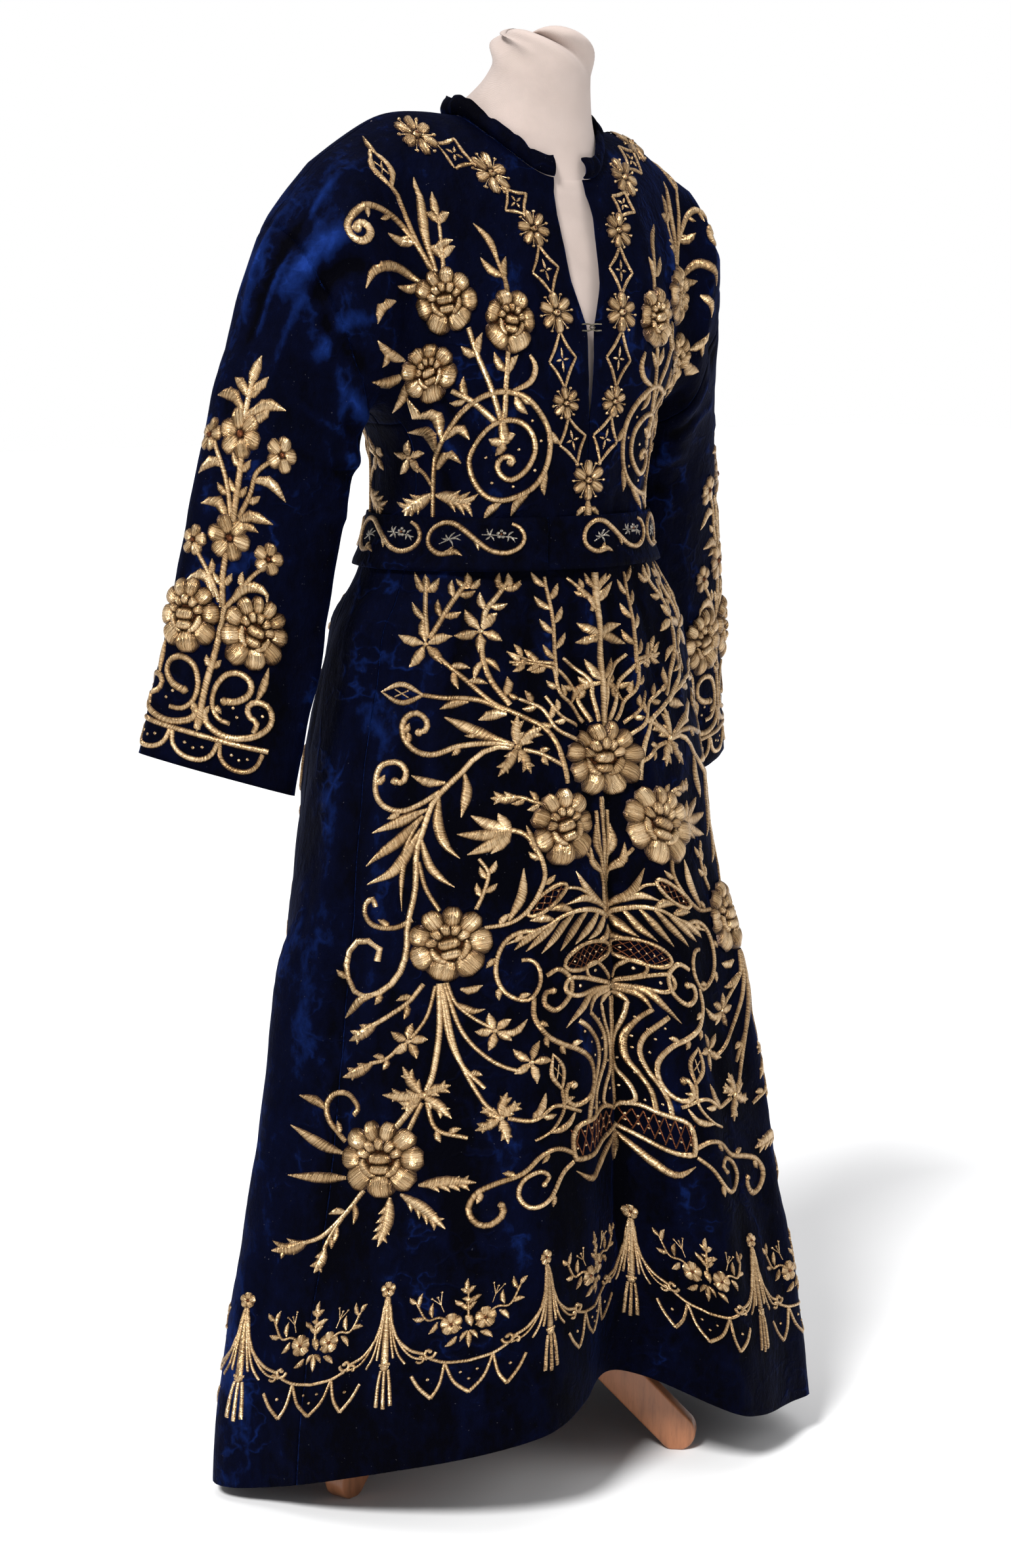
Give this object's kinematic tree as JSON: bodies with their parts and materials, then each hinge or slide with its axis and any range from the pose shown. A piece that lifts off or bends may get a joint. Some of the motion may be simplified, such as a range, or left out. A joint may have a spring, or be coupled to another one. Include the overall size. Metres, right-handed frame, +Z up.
{
  "type": "embroidered velvet robe on a limbless dress form with a wooden tripod stand",
  "caption": "Floor-length velvet robe with side gores, dropped sleeves, front slit, standing neck band and flat belt, worn by a limbless dress form on a wooden pole and tripod.",
  "frame": {"origin": "middle of the bottom of the bounding box, on the floor that the stand's feet rest on", "axes": "+Z up; the robe's front faces -Y and the wearer's left hand is towards +X"},
  "size_m": [0.856, 0.528, 1.5334],
  "materials": {
    "velvet": "dark blue cotton velvet with a deep nap, embroidered in dull gold metal thread",
    "form_cloth": "plain unbleached cotton stretched over a padded form",
    "wood": "satin varnished reddish wood",
    "metal": "dull drawn wire"
  },
  "bodies": {
    "root": {"robe_front": "velvet", "robe_back": "velvet", "gore_right": "velvet", "gore_left": "velvet", "sleeve_right": "velvet", "sleeve_left": "velvet", "neck_band": "velvet", "belt": "velvet", "hook": "metal", "eye": "metal", "dress_form": "form_cloth", "stand_pole": "wood", "stand_hub": "wood", "stand_leg_1": "wood", "stand_leg_2": "wood", "stand_leg_3": "wood"}
  },
  "joints": []
}
